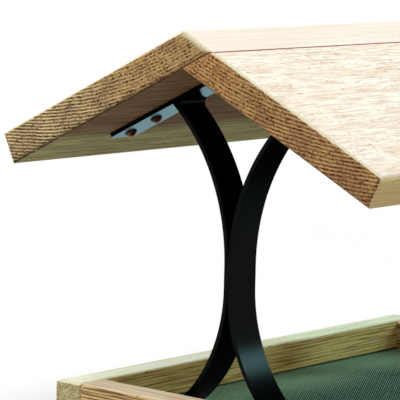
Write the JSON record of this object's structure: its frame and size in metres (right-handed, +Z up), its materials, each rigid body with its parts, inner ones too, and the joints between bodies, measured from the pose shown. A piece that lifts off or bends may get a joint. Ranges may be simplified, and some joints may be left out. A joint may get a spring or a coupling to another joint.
{
  "type": "fly-through bird feeder",
  "caption": "Gabled wooden roof on back-to-back curved flat-bar supports over a shallow seed tray with a mesh floor, open on all sides for birds to fly through.",
  "frame": {"origin": "middle of the tray's footprint, on the surface that the feeder stands on", "axes": "+X along the ridge, from the left gable (the near one in the picture) to the right gable; +Y from the front eave to the back eave; +Z up"},
  "size_m": [0.402, 0.3134, 0.2772],
  "materials": {
    "roof_cedar": "rough-sawn, unfinished cedar",
    "rail_cedar": "planed, unfinished cedar",
    "batten_cedar": "planed, unfinished cedar",
    "black_bar": "satin black powder coat",
    "bracket_bar": "satin dark grey coat",
    "mesh": "fine woven, coated dark green mesh",
    "bronze_screw": "dark bronze plated steel",
    "plated_screw": "zinc plated steel"
  },
  "bodies": {
    "root": {"back_roof_board": "roof_cedar", "front_roof_board": "roof_cedar", "left_ridge_bracket": "bracket_bar", "right_ridge_bracket": "bracket_bar", "left_back_strap": "black_bar", "left_front_strap": "black_bar", "right_back_strap": "black_bar", "right_front_strap": "black_bar", "left_base_bar": "black_bar", "right_base_bar": "black_bar", "back_rail": "rail_cedar", "front_rail": "rail_cedar", "left_end_rail": "rail_cedar", "right_end_rail": "rail_cedar", "screen": "mesh", "left_batten": "batten_cedar", "middle_batten": "batten_cedar", "right_batten": "batten_cedar", "bracket_screws": "bronze_screw", "base_bar_screws": "plated_screw", "rail_screws": "plated_screw", "batten_screws": "plated_screw"}
  },
  "joints": []
}
